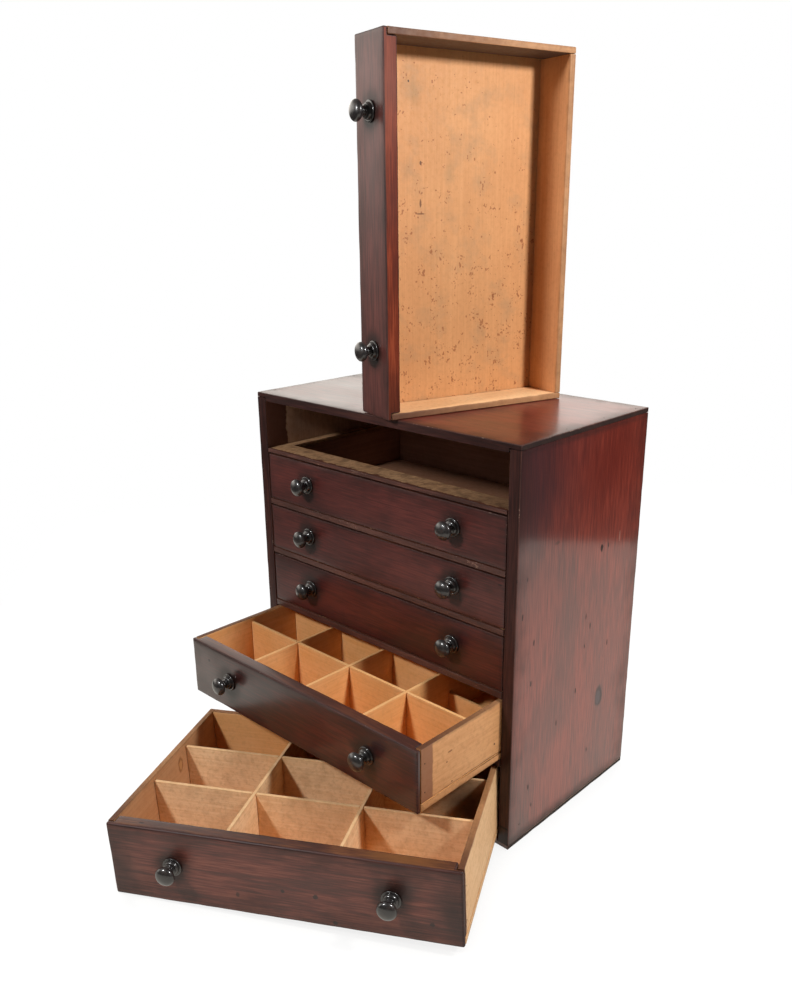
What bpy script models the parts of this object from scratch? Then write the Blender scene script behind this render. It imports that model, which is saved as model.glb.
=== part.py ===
"""Table-top collectors cabinet in stained pine.

A carcass of lapped boards holds five open drawer frames and six drawers with turned knobs, two of
them divided by halved slats. The drawers lie as they were set out: the first stands on its right end on
the cabinet's top, the next three are closed, the fifth is pulled out, and the lowest lies askew, with
one back corner still in its opening, propped on the front edge of the bottom board.

Metres, +Z up. The origin is at the centre of the carcass's underside, +X is the cabinet's right as seen
from the front, and the front faces -Y. Drawers are counted from the top.
"""

from math import asin, cos, pi, radians, sin, tan

import bmesh
import bpy
from mathutils import Matrix, Vector

MM = 0.001

# Carcass boards
CARCASS_WIDTH = 330 * MM
CARCASS_DEPTH = 197 * MM
SIDE_THICKNESS = 12 * MM
TOP_THICKNESS = 8 * MM
BOTTOM_THICKNESS = 7 * MM
END_LIP = 4.5 * MM  # thickness of the top and bottom boards where they lap the ends of the sides
BACK_THICKNESS = 4 * MM
BACK_REBATE = 6 * MM  # how far the back panel reaches into each side

# Drawer frames, one under each drawer but the lowest, from the top down
RAIL_THICKNESSES = (4.5 * MM, 6 * MM, 6 * MM, 7 * MM, 8 * MM)
RAIL_DEPTH = 26 * MM
RUNNER_WIDTH = 12 * MM

# Drawers, from the top down
DRAWER_HEIGHTS = (46.5 * MM, 47 * MM, 46 * MM, 52 * MM, 59 * MM, 71 * MM)
HEADROOM = 1.2 * MM
LOWEST_HEADROOM = 4.2 * MM
DRAWER_SIDE_CLEARANCE = 0.5 * MM
DRAWER_BACK_CLEARANCE = 0.5 * MM
FRONT_RECESS = 0.5 * MM  # a closed front stands this far behind the carcass's front edges
FRONT_THICKNESS = 13 * MM
FRONT_LAP = 4.3 * MM  # what the rebates leave of the front, over the sides and the bottom
DRAWER_SIDE_THICKNESS = 5.5 * MM
DRAWER_BACK_THICKNESS = 6 * MM
SHALLOW_BOTTOM_THICKNESS = 5 * MM
DEEP_BOTTOM_THICKNESS = 7.5 * MM

# Slats that divide the two deep drawers
SLAT_THICKNESS = 3 * MM
SLAT_DROP = 4.3 * MM  # the slats end this far below the drawer's rim
LOW_BAY_DROP = 25 * MM  # the fifth drawer's rear slat is cut down by this much in its right bay
FIFTH_COLUMNS = 4
LOWEST_COLUMNS = 3
ROWS = 3

# Turned knobs
KNOB_INSET = 58 * MM  # from a drawer's end to the knob's axis
KNOB_RISE = 1.2 * MM  # the axis lies this far above the middle of the front
KNOB_TENON_RADIUS = 3.2 * MM
KNOB_TENON_LENGTH = 11 * MM
KNOB_BASE_RADIUS = 8.5 * MM
KNOB_BASE_LENGTH = 5 * MM
KNOB_NECK_RADIUS = 3.6 * MM
KNOB_HEAD_RADIUS = 8.5 * MM
KNOB_HEAD_HALF_LENGTH = 4.6 * MM
KNOB_LENGTH = 17.4 * MM  # from the drawer front to the tip
KNOB_SEGMENTS = 16
KNOB_BASE_STEPS = 3
KNOB_HEAD_STEPS = 7

# How the drawers lie
FIFTH_PULL = 108 * MM
STANDING_TURN = radians(74.4)  # from +X to the standing drawer's depth, front to back
STANDING_CORNER_X = 28.9 * MM  # place of its lower front rim corner, right of the middle
STANDING_OVERHANG = 9.9 * MM  # how far that corner stands out over the carcass's front
LOWEST_TURN = radians(28)
LOWEST_INSERTED = 50 * MM  # length of its right side that is still inside the opening
LOWEST_POST_GAP = 0.5 * MM  # from its right side to the inner front edge of the carcass's side

JOINT_GAP = 0.3 * MM  # left between neighbouring pieces
CUT_MARGIN = 2 * MM  # cutters stand this far out of what they cut

# Worked out from the sizes above
HALF_WIDTH = CARCASS_WIDTH / 2
HALF_DEPTH = CARCASS_DEPTH / 2
OPENING_HALF = HALF_WIDTH - SIDE_THICKNESS
DRAWER_WIDTH = 2 * (OPENING_HALF - DRAWER_SIDE_CLEARANCE)
DRAWER_HALF = DRAWER_WIDTH / 2
DRAWER_DEPTH = CARCASS_DEPTH - BACK_THICKNESS - FRONT_RECESS - DRAWER_BACK_CLEARANCE
DRAWER_INNER_HALF = DRAWER_HALF - DRAWER_SIDE_THICKNESS
DRAWER_BACK_FACE = DRAWER_DEPTH - DRAWER_BACK_THICKNESS
KNOB_X = DRAWER_HALF - KNOB_INSET


def clear_scene():
    """Remove every object that is already in the scene."""
    for thing in list(bpy.data.objects):
        bpy.data.objects.remove(thing, do_unlink=True)


def finish(name, colour, roughness):
    """A plain Principled material of a linear colour."""
    material = bpy.data.materials.new(name)
    material.use_nodes = True
    shader = material.node_tree.nodes["Principled BSDF"]
    shader.inputs["Base Color"].default_value = (*colour, 1)
    shader.inputs["Roughness"].default_value = roughness
    shader.inputs["Metallic"].default_value = 0
    return material


def add_object(name, bm, material=None, parent=None):
    """Make an object of a bmesh, in its parent's frame where it has one."""
    mesh = bpy.data.meshes.new(name)
    bm.to_mesh(mesh)
    bm.free()
    thing = bpy.data.objects.new(name, mesh)
    bpy.context.scene.collection.objects.link(thing)
    thing.parent = parent
    if material:
        mesh.materials.append(material)
    return thing


def box_mesh(low, high):
    """A bmesh of the box between two corners."""
    low = Vector(low)
    high = Vector(high)
    bm = bmesh.new()
    place = Matrix.Translation((low + high) / 2) @ Matrix.Diagonal((*(high - low), 1))
    bmesh.ops.create_cube(bm, size=1, matrix=place)
    return bm


def board(name, low, high, material, parent=None):
    """A sawn board between two corners."""
    return add_object(name, box_mesh(low, high), material, parent)


def join_or_cut(solid, bm, operation):
    """Add a Boolean modifier whose hidden second shape is a bmesh in the solid's frame."""
    tool = add_object(f"{solid.name}_tool", bm, parent=solid.parent)
    tool.hide_render = True
    tool.display_type = "WIRE"
    modifier = solid.modifiers.new(tool.name, "BOOLEAN")
    modifier.operation = operation
    modifier.solver = "EXACT"
    modifier.object = tool


def cut_box(solid, low, high):
    """Cut the box between two corners out of a solid."""
    join_or_cut(solid, box_mesh(low, high), "DIFFERENCE")


def cut_bore(solid, x, z, radius, length):
    """Cut a round hole along Y through a drawer front, with the knob's facets."""
    bm = bmesh.new()
    middle = Vector((x, length / 2, z))
    place = Matrix.Translation(middle) @ Matrix.Rotation(pi / 2, 4, "X")
    bmesh.ops.create_cone(
        bm,
        cap_ends=True,
        segments=KNOB_SEGMENTS,
        radius1=radius,
        radius2=radius,
        depth=length + 2 * CUT_MARGIN,
        matrix=place,
    )
    join_or_cut(solid, bm, "DIFFERENCE")


def slot_floors():
    """Height of the floor under each drawer, from the top down, and of the top board's underside."""
    floors = []
    height = BOTTOM_THICKNESS
    lowest = len(DRAWER_HEIGHTS) - 1
    for index in range(lowest, -1, -1):
        floors.insert(0, height)
        headroom = LOWEST_HEADROOM if index == lowest else HEADROOM
        height += JOINT_GAP + DRAWER_HEIGHTS[index] + headroom
        if index > 0:
            height += RAIL_THICKNESSES[index - 1]
    return floors, height


def build_carcass(underside_of_top, stained):
    """Top and bottom boards lapped over the sides, with the back panel let into rebates in the sides."""
    height = underside_of_top + TOP_THICKNESS
    rebate_x = OPENING_HALF - JOINT_GAP

    top = board(
        "top_board",
        (-HALF_WIDTH, -HALF_DEPTH, underside_of_top),
        (HALF_WIDTH, HALF_DEPTH, height),
        stained,
    )
    bottom = board(
        "bottom_board",
        (-HALF_WIDTH, -HALF_DEPTH, 0),
        (HALF_WIDTH, HALF_DEPTH, BOTTOM_THICKNESS),
        stained,
    )
    for side in (-1, 1):
        inner, outer = sorted((side * rebate_x, side * (HALF_WIDTH + CUT_MARGIN)))
        cut_box(
            top,
            (inner, -HALF_DEPTH - CUT_MARGIN, underside_of_top - CUT_MARGIN),
            (outer, HALF_DEPTH + CUT_MARGIN, height - END_LIP),
        )
        cut_box(
            bottom,
            (inner, -HALF_DEPTH - CUT_MARGIN, END_LIP),
            (outer, HALF_DEPTH + CUT_MARGIN, BOTTOM_THICKNESS + CUT_MARGIN),
        )

    for name, side in (("left_side", -1), ("right_side", 1)):
        inner, outer = sorted((side * OPENING_HALF, side * HALF_WIDTH))
        panel = board(
            name,
            (inner, -HALF_DEPTH, END_LIP + JOINT_GAP),
            (outer, HALF_DEPTH, height - END_LIP - JOINT_GAP),
            stained,
        )
        shoulder = OPENING_HALF + BACK_REBATE + JOINT_GAP
        low_x, high_x = sorted((side * shoulder, side * (OPENING_HALF - CUT_MARGIN)))
        cut_box(
            panel,
            (low_x, HALF_DEPTH - BACK_THICKNESS - JOINT_GAP, -CUT_MARGIN),
            (high_x, HALF_DEPTH + CUT_MARGIN, height + CUT_MARGIN),
        )

    board(
        "back_panel",
        (-OPENING_HALF - BACK_REBATE, HALF_DEPTH - BACK_THICKNESS, BOTTOM_THICKNESS + JOINT_GAP),
        (OPENING_HALF + BACK_REBATE, HALF_DEPTH, underside_of_top - JOINT_GAP),
        stained,
    )


def build_frame(number, floor, thickness, pine):
    """An open frame under a drawer: the rail that shows in front, with a runner along each side."""
    half = OPENING_HALF - JOINT_GAP
    back = HALF_DEPTH - BACK_THICKNESS - JOINT_GAP
    frame = board(
        f"drawer_frame_{number}",
        (-half, -HALF_DEPTH, floor - thickness),
        (half, back, floor),
        pine,
    )
    cut_box(
        frame,
        (-half + RUNNER_WIDTH, -HALF_DEPTH + RAIL_DEPTH, floor - thickness - CUT_MARGIN),
        (half - RUNNER_WIDTH, back + CUT_MARGIN, floor + CUT_MARGIN),
    )


def level_pose(floor, pull=0.0):
    """A drawer that lies level on its frame, pulled out by a length."""
    return Matrix.Translation((0, -HALF_DEPTH + FRONT_RECESS - pull, floor + JOINT_GAP))


def standing_pose(height, top):
    """The first drawer, on its right end on the cabinet's top, with its inside towards the right."""
    depthwise = Vector((cos(STANDING_TURN), sin(STANDING_TURN), 0))
    rimwise = Vector((sin(STANDING_TURN), -cos(STANDING_TURN), 0))
    corner = Vector((STANDING_CORNER_X, -HALF_DEPTH - STANDING_OVERHANG, top + JOINT_GAP))
    place = corner - height * rimwise + Vector((0, 0, DRAWER_HALF))
    turn = Matrix((Vector((0, 0, -1)), depthwise, rimwise)).transposed()
    return Matrix.Translation(place) @ turn.to_4x4()


def askew_pose():
    """The lowest drawer, its left edge on the ground and its underside on the bottom board's front edge."""
    outside = LOWEST_INSERTED / tan(LOWEST_TURN)
    tilt = asin((BOTTOM_THICKNESS + JOINT_GAP) / (DRAWER_WIDTH - outside))
    turn = Matrix.Rotation(LOWEST_TURN, 4, "Z") @ Matrix.Rotation(-tilt, 4, "Y")
    across = Vector((cos(LOWEST_TURN), sin(LOWEST_TURN), 0))
    depthwise = Vector((-sin(LOWEST_TURN), cos(LOWEST_TURN), 0))
    post = Vector((OPENING_HALF, -HALF_DEPTH, 0))
    back_right = post - LOWEST_POST_GAP * across + LOWEST_INSERTED * depthwise
    place = back_right - DRAWER_DEPTH * depthwise - DRAWER_HALF * cos(tilt) * across
    place.z = DRAWER_HALF * sin(tilt)
    return Matrix.Translation(place) @ turn


def knob_profile():
    """Radius and distance from the drawer front of a knob's outline, from its tenon's end to its tip."""
    outline = [
        (0, -KNOB_TENON_LENGTH),
        (KNOB_TENON_RADIUS, -KNOB_TENON_LENGTH),
        (KNOB_TENON_RADIUS, JOINT_GAP),
    ]
    swell = KNOB_BASE_RADIUS - KNOB_NECK_RADIUS
    for step in range(KNOB_BASE_STEPS + 1):
        angle = step / KNOB_BASE_STEPS * pi / 2
        radius = KNOB_NECK_RADIUS + swell * cos(angle)
        outline.append((radius, JOINT_GAP + (KNOB_BASE_LENGTH - JOINT_GAP) * sin(angle)))
    centre = KNOB_LENGTH - KNOB_HEAD_HALF_LENGTH
    start = asin(KNOB_NECK_RADIUS / KNOB_HEAD_RADIUS)
    for step in range(KNOB_HEAD_STEPS):
        angle = start + step / KNOB_HEAD_STEPS * (pi - start)
        radius = KNOB_HEAD_RADIUS * sin(angle)
        outline.append((radius, centre - KNOB_HEAD_HALF_LENGTH * cos(angle)))
    outline.append((0, KNOB_LENGTH))
    return outline


def build_knob(name, x, z, ebonised, parent):
    """A turned knob whose tenon sits in a bore of the drawer front, pointing along -Y."""
    bm = bmesh.new()
    points = [bm.verts.new((radius, 0, out)) for radius, out in knob_profile()]
    edges = [bm.edges.new(pair) for pair in zip(points, points[1:])]
    bmesh.ops.spin(
        bm,
        geom=points + edges,
        cent=(0, 0, 0),
        axis=(0, 0, 1),
        dvec=(0, 0, 0),
        angle=2 * pi,
        steps=KNOB_SEGMENTS,
        use_merge=True,
    )
    bmesh.ops.remove_doubles(bm, verts=bm.verts, dist=0.001 * MM)
    bmesh.ops.recalc_face_normals(bm, faces=bm.faces)
    knob = add_object(name, bm, ebonised, parent)
    knob.location = (x, 0, z)
    knob.rotation_euler = (pi / 2, 0, 0)
    knob.data.shade_smooth()
    knob.data.set_sharp_from_angle(angle=radians(50))


def build_slats(prefix, columns, low_z, high_z, pine, parent):
    """Halved slats: long ones along the front with notches from above, cross ones notched from below."""
    middle = (low_z + high_z) / 2
    half = SLAT_THICKNESS / 2
    left = -DRAWER_INNER_HALF + JOINT_GAP
    front = FRONT_THICKNESS + JOINT_GAP
    back = DRAWER_BACK_FACE - JOINT_GAP
    bay_x = (2 * DRAWER_INNER_HALF - (columns - 1) * SLAT_THICKNESS) / columns
    bay_y = (DRAWER_BACK_FACE - FRONT_THICKNESS - (ROWS - 1) * SLAT_THICKNESS) / ROWS
    across = [-DRAWER_INNER_HALF + n * (bay_x + SLAT_THICKNESS) - half for n in range(1, columns)]
    along = [FRONT_THICKNESS + n * (bay_y + SLAT_THICKNESS) - half for n in range(1, ROWS)]
    notch = half + JOINT_GAP

    longs = []
    for n, y in enumerate(along, 1):
        slat = board(
            f"{prefix}_long_slat_{n}", (left, y - half, low_z), (-left, y + half, high_z), pine, parent
        )
        for x in across:
            cut_box(
                slat,
                (x - notch, y - half - CUT_MARGIN, middle - JOINT_GAP / 2),
                (x + notch, y + half + CUT_MARGIN, high_z + CUT_MARGIN),
            )
        longs.append(slat)
    for n, x in enumerate(across, 1):
        slat = board(
            f"{prefix}_cross_slat_{n}", (x - half, front, low_z), (x + half, back, high_z), pine, parent
        )
        for y in along:
            cut_box(
                slat,
                (x - half - CUT_MARGIN, y - notch, low_z - CUT_MARGIN),
                (x + half + CUT_MARGIN, y + notch, middle + JOINT_GAP / 2),
            )
    return longs, across, along


def build_drawer(number, bottom_thickness, pose, finishes):
    """A drawer in its own frame: origin under the middle of its front face, +Y to its back."""
    stained, pine, ebonised = finishes
    height = DRAWER_HEIGHTS[number - 1]
    prefix = f"drawer_{number}"
    place = bpy.data.objects.new(f"{prefix}_place", None)
    bpy.context.scene.collection.objects.link(place)
    place.matrix_world = pose

    seat_y = FRONT_LAP + JOINT_GAP
    seat_z = bottom_thickness + JOINT_GAP
    front = board(
        f"{prefix}_front", (-DRAWER_HALF, 0, 0), (DRAWER_HALF, FRONT_THICKNESS, height), stained, place
    )
    behind = FRONT_THICKNESS + CUT_MARGIN
    cut_box(
        front,
        (-DRAWER_HALF - CUT_MARGIN, FRONT_LAP, -CUT_MARGIN),
        (DRAWER_HALF + CUT_MARGIN, behind, seat_z),
    )
    for name, side in (("left", -1), ("right", 1)):
        inner = side * (DRAWER_INNER_HALF - JOINT_GAP)
        low_x, high_x = sorted((inner, side * (DRAWER_HALF + CUT_MARGIN)))
        cut_box(
            front, (low_x, FRONT_LAP, -2 * CUT_MARGIN), (high_x, behind, height + CUT_MARGIN)
        )
        knob_z = height / 2 + KNOB_RISE
        cut_bore(front, side * KNOB_X, knob_z, KNOB_TENON_RADIUS + JOINT_GAP, FRONT_THICKNESS)
        build_knob(f"{prefix}_{name}_knob", side * KNOB_X, knob_z, ebonised, place)
        low_x, high_x = sorted((side * DRAWER_INNER_HALF, side * DRAWER_HALF))
        board(
            f"{prefix}_{name}_side",
            (low_x, seat_y, seat_z),
            (high_x, DRAWER_DEPTH, height),
            pine,
            place,
        )

    bottom_low = (-DRAWER_HALF, seat_y, 0)
    bottom_high = (DRAWER_HALF, DRAWER_DEPTH, bottom_thickness)
    back_half = DRAWER_INNER_HALF - JOINT_GAP
    back_low = (-back_half, DRAWER_BACK_FACE, seat_z)
    back_high = (back_half, DRAWER_DEPTH, height)
    return place, (bottom_low, bottom_high), (back_low, back_high)


def main():
    """Build the carcass, its frames and the six drawers."""
    clear_scene()
    stained = finish("mahogany_stain_on_pine", (0.075, 0.017, 0.010), 0.3)
    pine = finish("bare_pine", (0.50, 0.25, 0.095), 0.65)
    ebonised = finish("ebonised_knob", (0.008, 0.008, 0.007), 0.22)
    finishes = (stained, pine, ebonised)

    floors, underside_of_top = slot_floors()
    build_carcass(underside_of_top, stained)
    for number, thickness in enumerate(RAIL_THICKNESSES, 1):
        build_frame(number, floors[number - 1], thickness, pine)

    poses = {
        1: standing_pose(DRAWER_HEIGHTS[0], underside_of_top + TOP_THICKNESS),
        2: level_pose(floors[1]),
        3: level_pose(floors[2]),
        4: level_pose(floors[3]),
        5: level_pose(floors[4], FIFTH_PULL),
        6: askew_pose(),
    }
    deep = {5: FIFTH_COLUMNS, 6: LOWEST_COLUMNS}
    closed = (2, 3, 4)
    for number, pose in poses.items():
        thickness = DEEP_BOTTOM_THICKNESS if number in deep else SHALLOW_BOTTOM_THICKNESS
        place, bottom_box, back_box = build_drawer(number, thickness, pose, finishes)
        prefix = f"drawer_{number}"
        if number in closed:
            bottom = board(f"{prefix}_bottom_and_back", *bottom_box, pine, place)
            low, high = back_box
            rooted = (low[0], low[1], thickness / 2)
            join_or_cut(bottom, box_mesh(rooted, high), "UNION")
        else:
            board(f"{prefix}_bottom", *bottom_box, pine, place)
            board(f"{prefix}_back", *back_box, pine, place)
        if number in deep:
            low_z = thickness + JOINT_GAP
            high_z = DRAWER_HEIGHTS[number - 1] - SLAT_DROP
            longs, across, along = build_slats(prefix, deep[number], low_z, high_z, pine, place)
            if number == 5:
                cut_box(
                    longs[-1],
                    (across[-1], along[-1] - SLAT_THICKNESS, high_z - LOW_BAY_DROP),
                    (DRAWER_HALF, along[-1] + SLAT_THICKNESS, high_z + CUT_MARGIN),
                )


main()
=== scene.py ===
"""Looks of the table-top collectors cabinet.

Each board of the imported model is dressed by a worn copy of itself: its arrises are eased and rubbed, the grain
runs along the board, and stain and varnish lie where the maker's brush reached. The knobs are turned anew, and
nail heads are added. Lengths are in metres where nothing else is said, and each drawer's own frame has its origin
under the middle of its front, +Y towards its back and +Z towards its rim.
"""

from __future__ import annotations

import logging
import math
import zlib
from collections.abc import Callable, Iterable
from dataclasses import dataclass, field, replace
from enum import Enum
from random import Random

import bmesh
import bpy
import numpy as np
from mathutils import Matrix, Vector, noise

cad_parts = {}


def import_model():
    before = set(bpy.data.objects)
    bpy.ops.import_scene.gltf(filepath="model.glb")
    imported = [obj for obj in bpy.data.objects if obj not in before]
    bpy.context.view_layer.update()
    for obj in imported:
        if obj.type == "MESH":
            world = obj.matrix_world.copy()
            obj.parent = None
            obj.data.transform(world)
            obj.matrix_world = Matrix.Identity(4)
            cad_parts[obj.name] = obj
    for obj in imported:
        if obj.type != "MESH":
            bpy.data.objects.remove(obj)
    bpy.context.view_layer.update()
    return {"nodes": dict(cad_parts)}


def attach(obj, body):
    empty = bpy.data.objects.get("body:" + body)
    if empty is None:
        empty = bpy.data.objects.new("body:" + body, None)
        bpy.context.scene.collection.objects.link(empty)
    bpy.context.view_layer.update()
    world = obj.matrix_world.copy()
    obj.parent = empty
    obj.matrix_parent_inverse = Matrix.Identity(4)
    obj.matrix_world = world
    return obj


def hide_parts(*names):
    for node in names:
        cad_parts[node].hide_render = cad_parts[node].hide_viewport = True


LOG = logging.getLogger("collectors_cabinet")
MM = 0.001
SHARP_ANGLE = math.radians(40)
FLAT_ANGLE = math.radians(1)
MERGE_DISTANCE = 0.01 * MM
UP, DOWN, FORWARD = (0, 0, 1), (0, 0, -1), (0, -1, 0)
SIDEWAYS = ((1, 0, 0), (-1, 0, 0))
HANDS = (-1, 1)
PARALLEL = 0.999  # least cosine between normals that count as one way
FACING = 0.5  # a face looks along an axis where more than this of its normal lies along it
WHITE = (1, 1, 1, 1)

# What the boards' meshes tell the finishes
GRAIN = "grain"  # a point's place in the board: along the grain, across it and through the board
ARRIS = "arris"  # 1 on a worn arris, falling to 0 at ARRIS_REACH from it
MARGIN = "margin"  # 1 on an arris, falling slowly over the board's face
STAIN = "stain"  # over 0.5 where stain has run on to bare wood
SMUDGE = "smudge"  # 1 where fingers have darkened the front beside a knob
ARRIS_REACH = 6 * MM
MARGIN_REACH = 20 * MM
GRAIN_OFFSETS = ((0, 5), (-0.04, 0.04), (0.025, 0.07))  # limits of each board's own place in the tree, in metres

# A wave texture's period in its own units, which turns a ring width into a scale
WAVE_PERIOD = 2 * math.pi / 20

# How far noise bends a mark's outline, and where the bent outline ends, in radii of the mark
MARK_RAGGEDNESS = 0.8
MARK_EDGE = 1.5

Tree = bpy.types.NodeTree
Socket = bpy.types.NodeSocket
NodeValue = float | tuple | Socket
Nodes = dict[str, bpy.types.Object]
Triple = tuple[float, float, float]
FaceRule = Callable[[Vector, Vector], int]
StainRule = Callable[[Vector, Vector], float]


class Grain(Enum):
    """The axis of a board's own frame that its grain runs along, then across and through the board."""

    X = (0, 1, 2)
    Y = (1, 0, 2)
    Z = (2, 1, 0)


class Fade(Enum):
    """How a layer of colour comes in: evenly, or with soft ends."""

    EVEN = "LINEAR"
    SOFT = "SMOOTHSTEP"


def linear(colour: str) -> tuple[float, float, float, float]:
    """Turn an sRGB hex colour into the linear one that shaders use.

    Args:
        colour: Six hex digits after a hash sign.

    Returns:
        Linear red, green and blue, and an alpha of 1.
    """
    channels = [int(colour[start : start + 2], 16) / 255 for start in (1, 3, 5)]
    lit = [c / 12.92 if c <= 0.04045 else ((c + 0.055) / 1.055) ** 2.4 for c in channels]
    return lit[0], lit[1], lit[2], 1.0


def per_metre(millimetres: float) -> float:
    """Scale of a noise whose features are this many millimetres across."""
    return 1 / (millimetres * MM)


def set_inputs(tree: Tree, node: bpy.types.Node, inputs: dict[str | int, NodeValue]) -> None:
    """Set a node's sockets, or link them where the value is another node's socket.

    Args:
        tree: The node tree that holds the node.
        node: The node whose sockets are set.
        inputs: Values or sockets by the input's name or number.
    """
    for key, value in inputs.items():
        if isinstance(value, Socket):
            tree.links.new(value, node.inputs[key])
        else:
            node.inputs[key].default_value = value


def add(
    tree: Tree, kind: str, inputs: dict[str | int, NodeValue] | None = None, **settings: object
) -> bpy.types.bpy_prop_collection:
    """Add a shader node with its settings and links.

    Args:
        tree: The node tree that gets the node.
        kind: The node's type, without the leading "ShaderNode".
        inputs: Values or sockets by the input's name or number.
        **settings: Properties of the node.

    Returns:
        The node's outputs.
    """
    node = tree.nodes.new(f"ShaderNode{kind}")
    for name, value in settings.items():
        setattr(node, name, value)
    set_inputs(tree, node, inputs or {})
    return node.outputs


def lay(
    tree: Tree,
    ground: NodeValue,
    colour: str,
    value: Socket,
    start: float,
    end: float,
    share: float = 1.0,
    fade: Fade = Fade.EVEN,
) -> tuple[Socket, Socket]:
    """Lay a colour over another, more of it as a value goes from start to end.

    Args:
        tree: The material's node tree.
        ground: The colour beneath.
        colour: The colour on top, as sRGB hex.
        value: What says where it lies.
        start: The value where it begins.
        end: The value where it is full.
        share: How much it covers where it is full.
        fade: How it comes in.

    Returns:
        The two colours together, and the upper one's share.
    """
    limits = {"Value": value, "From Min": start, "From Max": end, "To Max": share}
    cover = add(tree, "MapRange", limits, interpolation_type=fade.value)[0]
    return add(tree, "Mix", {0: cover, 6: ground, 7: linear(colour)}, data_type="RGBA")[2], cover


@dataclass(frozen=True)
class Mark:
    """A knot, dent or spot in a board, or a patch of painted shadow or sheen, with its place in the row frame and its
    radius in millimetres.

    Stretch multiplies its distances along X, Y and Z, so a value under 1 draws the mark out that way, soft is the
    width of its fading edge in radii, and dull is the share of the polish that it takes away.
    """

    place: Triple
    radius: float
    colour: str
    strength: float = 0.8
    stretch: Triple = (1, 1, 1)
    soft: float = 0.4
    dull: float = 0.0

    def over(self, tree: Tree, colour: Socket) -> tuple[Socket, Socket]:
        """Lay the mark over a wood's colour, with a ragged soft edge.

        Args:
            tree: The material's node tree.
            colour: The colour without the mark.

        Returns:
            The colour with the mark, and the mark's share of it.
        """
        radius, middle = self.radius * MM, tuple(along * MM for along in self.place)
        place = add(tree, "TexCoord")["Object"]
        ragged = add(tree, "TexNoise", {"Vector": place, "Scale": per_metre(self.radius), "Detail": 3})["Fac"]
        own = add(tree, "VectorMath", {0: place, 1: middle}, operation="SUBTRACT")[0]
        own = add(tree, "VectorMath", {0: own, 1: self.stretch}, operation="MULTIPLY")[0]
        away = add(tree, "VectorMath", {0: own}, operation="LENGTH")["Value"]
        bent = {0: ragged, 1: MARK_RAGGEDNESS * radius, 2: away}
        bent = add(tree, "Math", bent, operation="MULTIPLY_ADD")[0]
        start, end = MARK_EDGE * radius, (MARK_EDGE - self.soft) * radius
        return lay(tree, colour, self.colour, bent, start, end, self.strength, Fade.SOFT)


@dataclass(frozen=True)
class Finish:
    """A material by its real name, with the slot that it belongs to."""

    slot = ""
    name: str

    def material(self) -> bpy.types.Material:
        """Give the finish's material, drawn when it is first asked for.

        Returns:
            The material.
        """
        found = bpy.data.materials.get(self.name)
        if found is None:
            found = bpy.data.materials.new(self.name)
            found.use_nodes = True
            self.draw(found.node_tree)
        return found

    def draw(self, tree: Tree) -> None:
        """Draw the finish's nodes into a new material's tree."""
        raise NotImplementedError


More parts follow.
